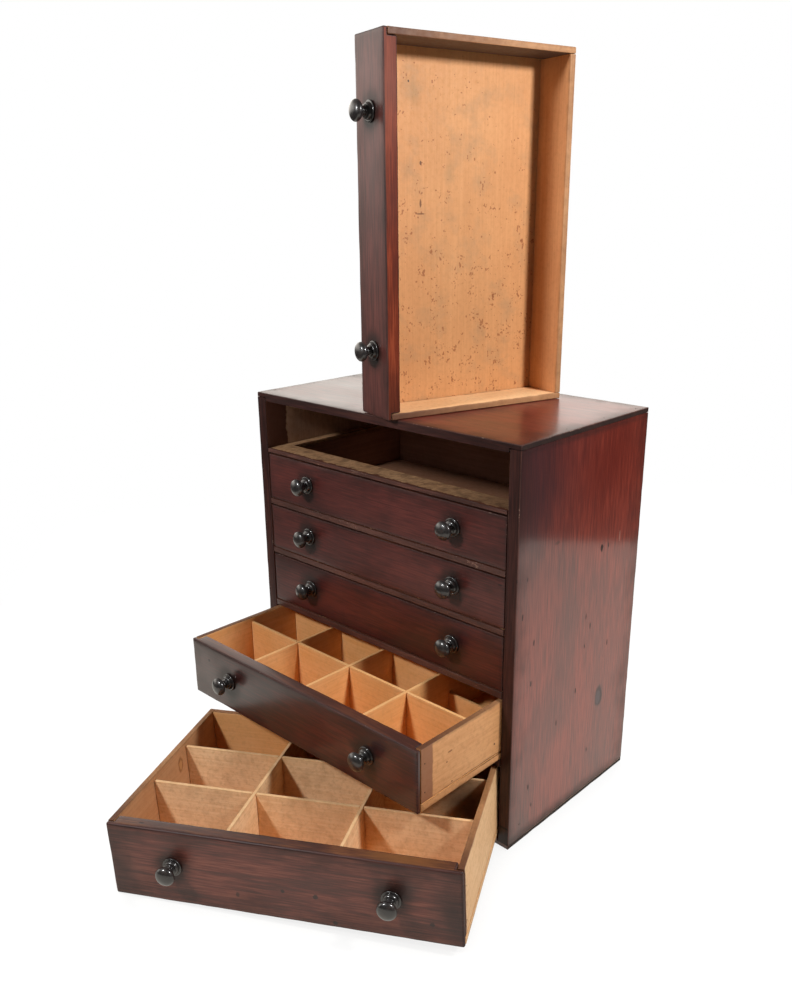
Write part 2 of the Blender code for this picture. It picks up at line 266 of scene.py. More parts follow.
@dataclass(frozen=True)
class StainedPine(Finish):
    """Planed pine, stained to pass for mahogany and polished with shellac.

    The stain takes unevenly, in faint streaks along the grain and in large soft clouds. Dirt and old polish have
    darkened it towards the board's edges and round the knobs, and rubbing has gone through it on the arrises. The
    polish is a clear glossy coat. Widths and spacings of the patterns are in millimetres.
    """

    slot = "mahogany_stain"
    name: str = "mahogany_stained_pine"
    deep: str = "#491a14"
    body: str = "#64281f"
    bright: str = "#78352a"
    grime: str = "#1d110e"
    rubbed: str = "#83665a"
    streak_width: float = 6.0
    streak_share: float = 0.3
    fibre_width: float = 1.3
    fibre_share: float = 0.9
    cloud_width: float = 60.0
    patch_width: float = 32.0
    chip_width: float = 1.8
    streak_stretch: float = 0.06
    cloud_stretch: float = 0.4
    fibre_stretch: float = 0.05
    deep_tones: tuple[float, float] = (0.32, 0.52)
    bright_tones: tuple[float, float] = (0.5, 0.7)
    dent_spacing: float = 18.0
    ripple_width: float = 16.0
    relief_depth: float = 0.12 * MM
    ripple_depth: float = 0.25 * MM
    darkened: float = 0.7
    edge_darkened: float = 0.35
    fingered: float = 0.9
    rubbed_share: float = 0.0
    roughness: float = 0.43
    roughness_spread: float = 0.07
    specular: float = 0.5
    coat: float = 1.0
    coat_roughness: float = 0.13
    coat_ior: float = 1.5
    marks: tuple[Mark, ...] = ()

    def draw(self, tree: Tree) -> None:
        """Draw the stain, its wear and the polish.

        Args:
            tree: The material's node tree.
        """
        grain = add(tree, "Attribute", attribute_name=GRAIN)["Vector"]
        drawn_out, stretched, thin = (
            add(tree, "Mapping", {"Vector": grain, "Scale": (along, 1, 1)})[0]
            for along in (self.streak_stretch, self.cloud_stretch, self.fibre_stretch)
        )
        streaks = {"Vector": drawn_out, "Scale": per_metre(self.streak_width), "Detail": 6, "Roughness": 0.6}
        streak = add(tree, "TexNoise", streaks)["Fac"]
        clouds = {"Vector": stretched, "Scale": per_metre(self.cloud_width), "Detail": 3}
        cloud = add(tree, "TexNoise", clouds)["Fac"]
        fibre = add(tree, "TexNoise", {"Vector": thin, "Scale": per_metre(self.fibre_width), "Detail": 3})["Fac"]
        tone = add(tree, "Mix", {0: self.streak_share, 2: cloud, 3: streak})[0]
        tone = add(tree, "Math", {0: fibre, 1: self.fibre_share, 2: tone}, operation="MULTIPLY_ADD")[0]
        tone = add(tree, "Math", {0: tone, 1: 0.5 * self.fibre_share}, operation="SUBTRACT")[0]
        colour = lay(tree, linear(self.deep), self.body, tone, *self.deep_tones)[0]
        colour = lay(tree, colour, self.bright, tone, *self.bright_tones)[0]
        dent = self.dents(tree, grain)
        colour = add(tree, "Mix", {0: dent, 6: colour, 7: linear(self.grime)}, data_type="RGBA")[2]
        dulled = [dent]
        for mark in self.marks:
            colour, core = mark.over(tree, colour)
            if mark.dull:
                dulled.append(add(tree, "Math", {0: core, 1: mark.dull}, operation="MULTIPLY")[0])
        colour, dirt = self.worn(tree, grain, colour)
        for dull in dulled:
            dirt = add(tree, "Math", {0: dirt, 1: dull}, operation="MAXIMUM")[0]
        gloss = add(tree, "MapRange", {"Value": dirt, "To Min": self.coat, "To Max": 0.15 * self.coat})[0]

        height = add(tree, "Math", {0: dent, 1: -1.5, 2: streak}, operation="MULTIPLY_ADD")[0]
        relief = add(tree, "Bump", {"Height": height, "Strength": 0.3, "Distance": self.relief_depth})[0]
        ripples = {"Vector": stretched, "Scale": per_metre(self.ripple_width), "Detail": 2}
        ripple = add(tree, "TexNoise", ripples)["Fac"]
        ripple = add(tree, "Math", {0: fibre, 1: 0.15, 2: ripple}, operation="MULTIPLY_ADD")[0]
        flow = add(tree, "Bump", {"Height": ripple, "Strength": 0.25, "Distance": self.ripple_depth})[0]
        smooth, coarse = self.roughness - self.roughness_spread, self.roughness + self.roughness_spread
        rough = {"Value": cloud, "From Min": 0.3, "From Max": 0.7, "To Min": smooth, "To Max": coarse}
        shader = {
            "Base Color": colour,
            "Roughness": add(tree, "MapRange", rough)[0],
            "Normal": relief,
            "IOR": 1.5,
            "Specular IOR Level": self.specular,
            "Coat Weight": gloss if self.coat else 0.0,
            "Coat Roughness": self.coat_roughness,
            "Coat IOR": self.coat_ior,
            "Coat Normal": flow,
        }
        set_inputs(tree, tree.nodes["Principled BSDF"], shader)

    def dents(self, tree: Tree, grain: Socket) -> Socket:
        """Scatter small dents along the grain, filled with polish and dust, one every two or three centimetres.

        Args:
            tree: The material's node tree.
            grain: Places in the board.

        Returns:
            1 in a dent and 0 elsewhere.
        """
        place = add(tree, "Mapping", {"Vector": grain, "Scale": (0.35, 1, 1)})[0]
        cells = add(tree, "TexVoronoi", {"Vector": place, "Scale": per_metre(self.dent_spacing)})
        chosen = add(tree, "MapRange", {"Value": cells["Color"], "From Min": 0.5, "From Max": 0.6})[0]
        near = add(tree, "MapRange", {"Value": cells["Distance"], "From Min": 0.065, "From Max": 0.035})[0]
        return add(tree, "Math", {0: chosen, 1: near}, operation="MULTIPLY")[0]

    def worn(self, tree: Tree, grain: Socket, colour: Socket) -> tuple[Socket, Socket]:
        """Darken the margins and the places that fingers reach, and rub the arrises.

        Args:
            tree: The material's node tree.
            grain: Places in the board.
            colour: The colour of the unworn stain.

        Returns:
            The colour with its wear, and the share of dirt, which dulls the polish.
        """
        arris, margin, smudge = (
            add(tree, "Attribute", attribute_name=name)["Fac"] for name in (ARRIS, MARGIN, SMUDGE)
        )
        patches = {"Vector": grain, "Scale": per_metre(self.patch_width), "Detail": 5, "Roughness": 0.6}
        patch = add(tree, "TexNoise", patches)["Fac"]
        shares = []
        for reach, spread, start, end, share in (
            (margin, 1.5, 1.0, 1.9, self.darkened),
            (smudge, 0.7, 0.5, 1.2, self.fingered),
        ):
            dirty = add(tree, "Math", {0: patch, 1: spread, 2: reach}, operation="MULTIPLY_ADD")[0]
            limits = {"Value": dirty, "From Min": start, "From Max": end, "To Max": share}
            shares.append(add(tree, "MapRange", limits, interpolation_type=Fade.SOFT.value)[0])
        dark = add(tree, "Math", dict(enumerate(shares)), operation="MAXIMUM")[0]
        colour = add(tree, "Mix", {0: dark, 6: colour, 7: linear(self.grime)}, data_type="RGBA")[2]
        edge = add(tree, "Math", {0: patch, 1: 0.8, 2: arris}, operation="MULTIPLY_ADD")[0]
        colour, black = lay(tree, colour, self.grime, edge, 0.95, 1.4, self.edge_darkened, Fade.SOFT)
        dirt = add(tree, "Math", {0: dark, 1: black}, operation="MAXIMUM")[0]
        if self.rubbed_share:
            chips = {"Vector": grain, "Scale": per_metre(self.chip_width), "Detail": 3, "Roughness": 0.6}
            rubbing = add(tree, "TexNoise", chips)["Fac"]
            for more in (patch, arris):
                rubbing = add(tree, "Math", {0: rubbing, 1: more}, operation="ADD")[0]
            colour = lay(tree, colour, self.rubbed, rubbing, 2.08, 2.2, self.rubbed_share)[0]
        return colour, dirt


@dataclass(frozen=True)
class BarePine(Finish):
    """Sawn and planed pine without a finish, mellowed with age.

    Faint darker rings run along it, the wood between them varies in warmth, hands and dust have browned its
    rims, and stain from the next board has run on to it in places. Widths of the patterns are in millimetres.
    """

    slot = "pine"
    name: str = "aged_pine"
    pale: str = "#e0a571"
    warm: str = "#d6925d"
    ring: str = "#b67640"
    soiled: str = "#7a5231"
    handled: str = "#7a5231"
    damp: str = "#8d7455"
    speck: str = "#84441a"
    stain: str = "#4f2417"
    ring_width: float = 3.4
    ring_stretch: float = 0.03
    ring_share: float = 0.07
    fibre_width: float = 1.8
    cloud_width: float = 45.0
    mottle_width: float = 4.0
    patch_width: float = 11.0
    damp_width: float = 30.0
    swarm_width: float = 14.0
    soiling: float = 0.5
    specks: float = 0.0
    speck_top: float = 0.68
    mottle: float = 0.15
    patches: float = 0.0
    ragged: float = 0.5
    stain_share: float = 0.92
    stain_fade: float = 0.08
    roughness: float = 0.62
    marks: tuple[Mark, ...] = ()

    def draw(self, tree: Tree) -> None:
        """Draw the rings, the soiling and the run stain.

        Args:
            tree: The material's node tree.
        """
        grain = add(tree, "Attribute", attribute_name=GRAIN)["Vector"]
        arris, stain = (add(tree, "Attribute", attribute_name=name)["Fac"] for name in (ARRIS, STAIN))
        drawn_out = add(tree, "Mapping", {"Vector": grain, "Scale": (self.ring_stretch, 1, 1)})[0]
        waves = {"Vector": drawn_out, "Scale": WAVE_PERIOD * per_metre(self.ring_width)}
        waves |= {"Distortion": 4, "Detail": 2, "Detail Scale": 0.3}
        rings = add(tree, "TexWave", waves, wave_type="RINGS", rings_direction="X", wave_profile="SAW")["Fac"]
        fibres = {"Vector": drawn_out, "Scale": per_metre(self.fibre_width), "Detail": 3}
        fibre = add(tree, "TexNoise", fibres)["Fac"]
        cloud = add(tree, "TexNoise", {"Vector": grain, "Scale": per_metre(self.cloud_width), "Detail": 4})["Fac"]
        warmth = add(tree, "Mix", {0: 0.5, 2: fibre, 3: cloud})[0]
        colour = lay(tree, linear(self.pale), self.warm, warmth, 0.36, 0.64)[0]
        colour = lay(tree, colour, self.ring, rings, 0.45, 0.95, self.ring_share, Fade.SOFT)[0]

        # Dirt rubbed into the plane's and the saw's marks
        mottling = {"Vector": grain, "Scale": per_metre(self.mottle_width), "Detail": 5, "Roughness": 0.7}
        mottle = add(tree, "TexNoise", mottling)["Fac"]
        colour = lay(tree, colour, self.soiled, mottle, 0.48, 0.7, self.mottle)[0]
        if self.specks:
            colour = self.specked(tree, grain, colour)
        for mark in self.marks:
            colour = mark.over(tree, colour)[0]

        patch = add(tree, "TexNoise", {"Vector": grain, "Scale": per_metre(self.patch_width), "Detail": 4})["Fac"]
        if self.patches:
            colour = lay(tree, colour, self.soiled, patch, 0.47, 0.66, self.patches)[0]
        edge = add(tree, "Math", {0: patch, 1: 0.9, 2: arris}, operation="MULTIPLY_ADD")[0]
        colour = lay(tree, colour, self.handled, edge, 0.95, 1.5, self.soiling, Fade.SOFT)[0]
        run = add(tree, "Mix", {0: 0.5, 2: patch, 3: mottle})[0]
        run = add(tree, "Math", {0: run, 1: 0.5}, operation="SUBTRACT")[0]
        run = add(tree, "Math", {0: run, 1: self.ragged, 2: stain}, operation="MULTIPLY_ADD")[0]
        start, end = 0.5 - self.stain_fade / 2, 0.5 + self.stain_fade / 2
        colour = lay(tree, colour, self.stain, run, start, end, self.stain_share)[0]

        relief = add(tree, "Bump", {"Height": mottle, "Strength": 0.3, "Distance": 0.14 * MM})[0]
        smooth, coarse = self.roughness - 0.08, self.roughness + 0.1
        rough = {"Value": mottle, "From Min": 0.3, "From Max": 0.7, "To Min": smooth, "To Max": coarse}
        rough = add(tree, "MapRange", rough)[0]
        shader = {"Base Color": colour, "Roughness": rough, "Normal": relief, "IOR": 1.45}
        set_inputs(tree, tree.nodes["Principled BSDF"], shader)

    def specked(self, tree: Tree, grain: Socket, colour: Socket) -> Socket:
        """Grey the wood with damp, and scatter brown specks in loose swarms that thin out towards the top.

        Args:
            tree: The material's node tree.
            grain: Places in the board.
            colour: The wood's colour without specks.

        Returns:
            The colour with specks.
        """
        place = add(tree, "TexCoord")["Object"]
        height = add(tree, "SeparateXYZ", {0: place})["Z"]
        thinning = {"Value": height, "From Min": self.speck_top, "From Max": self.speck_top - 0.2, "To Max": 0.09}
        crowd = add(tree, "MapRange", thinning)[0]
        damps = {"Vector": place, "Scale": per_metre(self.damp_width), "Detail": 5, "Roughness": 0.65}
        damp = add(tree, "TexNoise", damps)["Fac"]
        colour = lay(tree, colour, self.damp, damp, 0.5, 0.72, 0.4)[0]
        swarm = add(tree, "TexNoise", {"Vector": grain, "Scale": per_metre(self.swarm_width), "Detail": 2})["Fac"]
        swarm = add(tree, "Math", {0: swarm, 1: 0.55, 2: crowd}, operation="MULTIPLY_ADD")[0]
        for width, rarity in ((2.4, 1.035), (4.2, 1.06)):
            spots = add(tree, "TexNoise", {"Vector": grain, "Scale": per_metre(width), "Detail": 1})["Fac"]
            chance = add(tree, "Math", {0: spots, 1: swarm}, operation="ADD")[0]
            colour = lay(tree, colour, self.speck, chance, rarity, rarity + 0.07, self.specks)[0]
        return colour


@dataclass(frozen=True)
class EbonisedWood(Finish):
    """Turned hardwood, dyed black and polished: nearly black, glossy, a little brown where hands have rubbed it."""

    slot = "ebonised_wood"
    name: str = "ebonised_hardwood"
    black: str = "#1f1c1c"
    brown: str = "#332925"
    patch_width: float = 6.0
    coat: float = 0.75
    coat_roughness: float = 0.11

    def draw(self, tree: Tree) -> None:
        """Draw the dye, the rubbed patches and the polish.

        Args:
            tree: The material's node tree.
        """
        place = add(tree, "TexCoord")["Object"]
        patch = add(tree, "TexNoise", {"Vector": place, "Scale": per_metre(self.patch_width), "Detail": 4})["Fac"]
        rough = {"Value": patch, "From Min": 0.3, "From Max": 0.7, "To Min": 0.28, "To Max": 0.45}
        shader = {
            "Base Color": lay(tree, linear(self.black), self.brown, patch, 0.5, 0.75)[0],
            "Roughness": add(tree, "MapRange", rough)[0],
            "Normal": add(tree, "Bump", {"Height": patch, "Strength": 0.15, "Distance": 0.1 * MM})[0],
            "IOR": 1.5,
            "Coat Weight": self.coat,
            "Coat Roughness": self.coat_roughness,
        }
        set_inputs(tree, tree.nodes["Principled BSDF"], shader)


@dataclass(frozen=True)
class CutIron(Finish):
    """Cut iron nails, blackened and rusted: dull, dark grey-brown and a little uneven."""

    slot = "mahogany_stain"
    name: str = "rusted_cut_iron"
    iron: str = "#2a2420"
    rust: str = "#4b3222"
    patch_width: float = 1.2
    metallic: float = 0.5

    def draw(self, tree: Tree) -> None:
        """Draw the iron and its rust.

        Args:
            tree: The material's node tree.
        """
        place = add(tree, "TexCoord")["Object"]
        patch = add(tree, "TexNoise", {"Vector": place, "Scale": per_metre(self.patch_width), "Detail": 3})["Fac"]
        shader = {
            "Base Color": lay(tree, linear(self.iron), self.rust, patch, 0.4, 0.62)[0],
            "Roughness": add(tree, "MapRange", {"Value": patch, "To Min": 0.5, "To Max": 0.8})[0],
            "Metallic": self.metallic,
        }
        set_inputs(tree, tree.nodes["Principled BSDF"], shader)


# Where the right side is dented, as Y and Z
SIDE_DENTS = ((-89, 230), (19, 185), (11, 197), (52, 156), (-71, 200), (-73, 161), (0, 124), (-30, 103), (-71, 54))
# The right side's dark corners and ends, its knot, gouges and a scratch, and dents
SIDE_MARKS = (
    Mark((165, -100, 380), 220, "#24131a", 0.85, (1, 1.5, 0.8), 1.1),
    Mark((165, 35, 335), 75, "#54150c", 0.65, (1, 0.8, 0.9), 1.2, 1.0),
    Mark((165, -95, 25), 40, "#2a2022", 0.45, (1, 1, 0.5), 1.3),
    Mark((165, -30, 2), 15, "#1a1312", 0.9, (1, 0.06, 1), 1.1, 0.9),
    Mark((165, 0, 373), 5, "#1a1110", 0.5, (1, 0.03, 1), 1.1, 0.5),
    Mark((165, 42.7, 98), 15, "#33262a", 0.6, (1, 1.4, 0.8), 1.2),
    Mark((165, 42.7, 101), 9, "#2a1a1c", 0.85, (1, 1.3, 0.75), 0.4, 0.5),
    Mark((165, 42, 99.5), 6, "#4d3d42", 0.75, (1, 1.3, 0.75)),
    Mark((165, 31, 259.5), 2.4, "#210f0c", 0.95, (1, 0.9, 0.6), dull=1.0),
    Mark((165, -42, 284), 1.6, "#3a1c17", 0.6, (1, 0.4, 1), dull=0.6),
    Mark((165, 61.5, 263), 1.2, "#a0786a", 0.5, (1, 1.2, 0.2)),
    *(Mark((165, y, z), 1.2, "#1d0f0c", 0.9, (1, 1.2, 0.35), dull=1.0) for y, z in SIDE_DENTS),
)
# The joint line across the foot of the sides' front edges, and the dirt below it
STILE_MARKS = (
    Mark((159, -98.5, 22), 1.2, "#050303", 0.95, (0.08, 1, 1)),
    Mark((159, -98.5, 9), 11, "#2b2624", 0.6, (0.4, 1, 1)),
)
RAIL_MARKS = (Mark((150, -98.5, 330), 95, "#4b3222", 0.6, soft=1.3),)
# Nail holes, a bruise and dirt along the joint under the fifth drawer's right side
FIFTH_SIDE_MARKS = (
    Mark((152.5, -106.6, 110.8), 1.1, "#3a2014", 0.95),
    Mark((152.5, -163.5, 101.8), 0.9, "#5a3018", 0.9),
    Mark((152.5, -170.1, 123.5), 0.8, "#6b3c1e", 0.9),
    Mark((152.5, -166, 132), 1.0, "#7d4a26", 0.8, (1, 0.3, 1)),
    Mark((152.5, -100, 98.5), 1.4, "#5f3a20", 0.85, (1, 0.02, 1)),
)
# A painted sheen at the fifth front's left end, a grey veil that stands for the polish's reflection, and a hole
FIFTH_FRONT_SHEEN_AND_HOLE = (
    Mark((-152.5, -206, 115), 62, "#6f5f5b", 0.85, (1, 1, 0.7), 1.3),
    Mark((-126.3, -206, 133.8), 1.6, "#120a08", 0.95),
)
# Knots and dark places on the lowest front
LOWEST_FRONT_MARKS = (
    Mark((111, -281.6, 34.1), 2.4, "#241613", 0.85),
    Mark((125.3, -274, 11.9), 2.2, "#241613", 0.85),
    Mark((86.1, -294.9, 34), 2.0, "#241613", 0.85),
    Mark((196.1, -236.4, 28.1), 2.0, "#241613", 0.85),
    Mark((50.7, -313.7, 22.2), 1.6, "#2a1813", 0.7, (1, 1, 0.6)),
    Mark((176.4, -246.9, 57.6), 18, "#201312", 0.75, soft=1.3),
    Mark((211.1, -228.4, 45), 26, "#2a1a17", 0.7, (1, 1, 0.6), 1.3),
    Mark((-45, -364.6, 35), 30, "#2a1a18", 0.7, (1, 1, 0.6), 1.3),
)
FIRST_RIM_MARKS = (
    Mark((30, -104, 380), 38, "#3a1c14", 0.75, (1, 1, 0.7), 1.2),
    Mark((30, -104, 650), 60, "#85564c", 0.6, (1, 1, 0.5), 1.3),
)
LOWEST_RIM_MARKS = (
    Mark((170, -238, 71), 42, "#96602f", 0.75, soft=1.2),
    Mark((-10, -340, 71), 45, "#3d2321", 0.6, soft=1.2),
)
# A knot in the lowest drawer's left side, and a painted shadow over the right end of its rear slat
LOWEST_SIDE_MARKS = (
    Mark((-99.1, -263.2, 53.9), 7, "#83522c", 0.75, (1, 1.5, 0.8)),
    Mark((-99.1, -263.2, 53.9), 4.5, "#c08c58", 0.8, (1, 1.5, 0.8)),
)
# Painted shadow, where the fifth drawer and the carcass shade the lowest drawer's right rear bay
LOWEST_SLAT_SHADOW = (Mark((138, -123.5, 45), 46, "#2c1a10", 0.85, soft=1.2),)
# Spots, a scratch and damp patches on the first drawer's bottom
FIRST_BOTTOM_MARKS = (
    Mark((4.9, -40.2, 558), 1.1, "#6b4222", 0.9, (1, 1, 0.3)),
    Mark((4.9, -40.2, 549.5), 0.7, "#6b4222", 0.8, (0.14, 0.14, 1)),
    Mark((4.9, -40.1, 590.8), 1.0, "#5d3a1e", 0.9, (1, 1, 0.5)),
    Mark((1.7, -51.4, 653.8), 1.0, "#3a2412", 0.95),
    Mark((12.9, -11.3, 582.5), 8, "#85714f", 0.4, (1, 1, 0.6), 1.2),
    Mark((3.3, -45.8, 645.8), 9, "#85714f", 0.4, (1, 1, 0.6), 1.2),
)

TOP_STAIN = StainedPine("mahogany_stained_pine_top", specular=0.25, coat=0.5, coat_roughness=0.2)
CARCASS_STAIN = StainedPine(coat_roughness=0.18)
RIGHT_SIDE_STAIN = StainedPine(
    "mahogany_stained_pine_with_knot", "#561a11", "#70271a", "#883525",
    streak_width=5.0, streak_share=0.25, darkened=0.5, specular=0.15, coat_roughness=0.1, coat_ior=1.66,
    marks=SIDE_MARKS,
)
FRONT_STAIN = StainedPine(
    "mahogany_stained_pine_front", "#431915", "#58231f", "#682d25",
    darkened=0.5, coat=0.65, coat_roughness=0.27,
)
FIRST_FRONT_STAIN = StainedPine(
    "mahogany_stained_pine_front_dull", "#43201b", "#572b26", "#6a3831",
    streak_share=0.5, darkened=0.5, specular=0.35, coat=0.4, coat_roughness=0.27,
)
FOURTH_FRONT_STAIN = StainedPine(
    "mahogany_stained_pine_front_dark", "#38100e", "#4b1814", "#5c211b",
    darkened=0.5, coat=0.5, coat_roughness=0.27,
)
# Its marks paint a grey sheen on the left end, standing for the polish's reflection
FIFTH_FRONT_STAIN = StainedPine(
    "mahogany_stained_pine_front_holed", "#260b09", "#3c110d", "#521812",
    streak_share=0.45, darkened=0.5, coat=0.85, coat_roughness=0.2, marks=FIFTH_FRONT_SHEEN_AND_HOLE,
)
LOWEST_FRONT_STAIN = StainedPine(
    "mahogany_stained_pine_front_browned", "#4a231b", "#652e24", "#7e4434",
    streak_width=8.0, streak_share=0.45, cloud_width=35.0, darkened=0.6, specular=0.35, coat=0.42,
    coat_roughness=0.27, marks=LOWEST_FRONT_MARKS,
)
ARRIS_STAIN = StainedPine(
    "mahogany_stained_pine_arris", "#301a17", "#43231e", "#593229", rubbed="#957a6c", rubbed_share=0.8,
    darkened=0.1, edge_darkened=0.15, roughness=0.55, specular=0.3, coat=0.12, coat_roughness=0.4,
)
END_STAIN = StainedPine(
    "mahogany_stained_pine_end_grain", "#1c100d", "#281612", "#382019",
    rubbed_share=0.5, roughness=0.6, specular=0.25, coat=0.0,
)
STILE_STAIN = StainedPine(
    "mahogany_stained_pine_stile", "#2a1614", "#391e1b", "#4b2923",
    streak_share=0.5, darkened=0.2, specular=0.2, coat=0.15, coat_roughness=0.3, marks=STILE_MARKS,
)
RAIL_STAIN = StainedPine(
    "mahogany_stained_pine_rail", "#482922", "#5c362d", "#75493d", rubbed="#94705f", rubbed_share=0.8,
    darkened=0.15, edge_darkened=0.2, coat=0.4, coat_roughness=0.3,
)
FIRST_RIM_STAIN = StainedPine(
    "mahogany_stained_pine_first_rim", "#5f2517", "#7a311b", "#944429", rubbed_share=0.6,
    darkened=0.25, edge_darkened=0.15, roughness=0.6, specular=0.1, coat=0.0, marks=FIRST_RIM_MARKS,
)
RIM_STAIN = StainedPine(
    "mahogany_stained_pine_rim", "#3a1f18", "#52291e", "#704028", rubbed_share=0.7,
    streak_share=0.5, darkened=0.3, roughness=0.5, coat=0.3, coat_roughness=0.3,
)
LOWEST_RIM_STAIN = replace(
    RIM_STAIN, name="mahogany_stained_pine_lowest_rim", body="#562d1f", bright="#80502e", marks=LOWEST_RIM_MARKS
)
WARM_PINE = BarePine("aged_pine", "#cf9564", "#c18556", "#a26a3c")
# The first drawer's upper wall inside: greyed with dirt, and darkened further as painted shade where it lies in
# shadow
DIRT_AND_SHADE_PINE = BarePine("aged_pine_dirt_and_shade", "#5d4e45", "#53433a", "#44352b", soiling=0.6, mottle=0.3)
# The first drawer's up-facing lower wall inside: painted paler as light from above, its rims browned by hands
TOP_LIT_PALE_PINE = BarePine(
    "aged_pine_paled_as_top_light", "#fbd4a2", "#f3c48f", "#cf965f", handled="#7a4526", soiling=0.85, mottle=0.2
)
CLEAN_PINE = BarePine("aged_pine_clean", "#ecb277", "#dfa05e", "#c78a52", handled="#e3b47c")
KNOTTY_PINE = BarePine("aged_pine_with_knot", "#c4946a", "#b58156", "#99693f", marks=LOWEST_SIDE_MARKS)
TAN_PINE = BarePine(
    "aged_pine_tan", "#d49c69", "#c48a58", "#a77043", stain="#8a5a3e",
    soiling=0.6, mottle=0.25, ragged=0.25, marks=FIFTH_SIDE_MARKS,
)
PALE_PINE = BarePine("aged_pine_pale", "#e0b687", "#d3a474", "#b98b58", soiling=0.6, mottle=0.25)
HANDLED_PINE = BarePine(
    "aged_pine_handled", "#bf8d60", "#a3714a", "#8a5b38", stain="#54301f",
    soiling=0.4, mottle=0.35, ragged=0.4, stain_fade=1.0,
)
DUSTY_PINE = BarePine("aged_pine_dusty", "#bf9f86", "#ab8b72", "#8f715a", soiling=0.6, mottle=0.3)
DARK_PINE = BarePine("aged_pine_dark", "#aa8069", "#956b57", "#785443", soiling=0.4, mottle=0.2)
DIM_PINE = BarePine("aged_pine_dim", "#a2765b", "#8b624a", "#74523c", mottle=0.3)
RAIL_PINE = BarePine(
    "aged_pine_rail", "#cba37a", "#b08660", "#7f583c", soiled="#4b3222",
    ring_share=0.4, soiling=0.6, mottle=0.5, patches=0.5, ragged=1.6, marks=RAIL_MARKS,
)
SPECKED_PINE = BarePine(
    "aged_pine_specked", "#cf945f", "#c48955", "#a8703b", specks=0.7, marks=FIRST_BOTTOM_MARKS
)
# Slats of the lowest drawer, with a painted shadow over its right rear bay
ROUGH_PINE = BarePine(
    "rough_sawn_pine", "#f8d2a4", "#eabd8c", "#c89462", soiled="#9a6434", handled="#d9ac79",
    patches=0.18, mottle=0.3, roughness=0.7, marks=LOWEST_SLAT_SHADOW,
)
EBONISED = EbonisedWood()
IRON = CutIron()


def first_finish(normal: Vector, centre: Vector) -> int:
    """Give every face the board's first finish."""
    return 0


def unstained(normal: Vector, place: Vector) -> float:
    """Leave bare wood without run stain."""
    return 0.0


def ramp(value: float, start: float, end: float) -> float:
    """Rise from 0 at start to 1 at end, or fall where end is the lesser."""
    return min(1.0, max(0.0, (value - start) / (end - start)))


def own_seed(name: str) -> Random:
    """A random source that depends on a piece's name alone."""
    return Random(zlib.crc32(name.encode()))


def loose_copy(node: bpy.types.Object, place: Matrix) -> bmesh.types.BMesh:
    """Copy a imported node's mesh into a board's own frame, merged and with its flat faces whole.

    Args:
        node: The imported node.
        place: The frame's place in the row frame.

    Returns:
        The copy.
    """
    bm = bmesh.new()
    bm.from_mesh(node.data)
    bmesh.ops.transform(bm, matrix=place.inverted(), verts=bm.verts)
    bmesh.ops.remove_doubles(bm, verts=bm.verts, dist=MERGE_DISTANCE)
    bmesh.ops.dissolve_limit(bm, angle_limit=FLAT_ANGLE, verts=bm.verts, edges=bm.edges)
    return bm


def distances(points: np.ndarray, lines: np.ndarray) -> np.ndarray:
    """Measure from each point to the nearest of the lines between pairs of ends.

    Args:
        points: Points, one per row.
        lines: Pairs of ends.

    Returns:
        One distance per point.
    """
    least = np.full(len(points), np.inf)
    for start, end in lines:
        along = end - start
        share = np.clip((points - start) @ along / (along @ along), 0, 1)
        least = np.minimum(least, np.linalg.norm(points - start - share[:, None] * along, axis=1))
    return least


def add_piece(
    name: str, bm: bmesh.types.BMesh, body: str, finishes: Iterable[Finish], replaced: Iterable[str] = ()
) -> bpy.types.Object:
    """Make a piece of a bmesh in the row frame, dress it and hand it to the frame.

    Args:
        name: The piece's name.
        bm: Its mesh, which is used up.
        body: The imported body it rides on.
        finishes: The finishes that its faces number.
        replaced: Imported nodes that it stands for.

    Returns:
        The piece.
    """
    for face in bm.faces:
        face.smooth = True
    for edge in bm.edges:
        edge.smooth = edge.calc_face_angle(0) < SHARP_ANGLE
    mesh = bpy.data.meshes.new(name)
    bm.to_mesh(mesh)
    bm.free()
    piece = bpy.data.objects.new(name, mesh)
    bpy.context.scene.collection.objects.link(piece)
    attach(piece, body)
    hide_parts(*replaced)
    for finish in finishes:
        mesh.materials.append(finish.material())
    LOG.info("%s: %d faces on %s", name, len(mesh.polygons), body)
    return piece


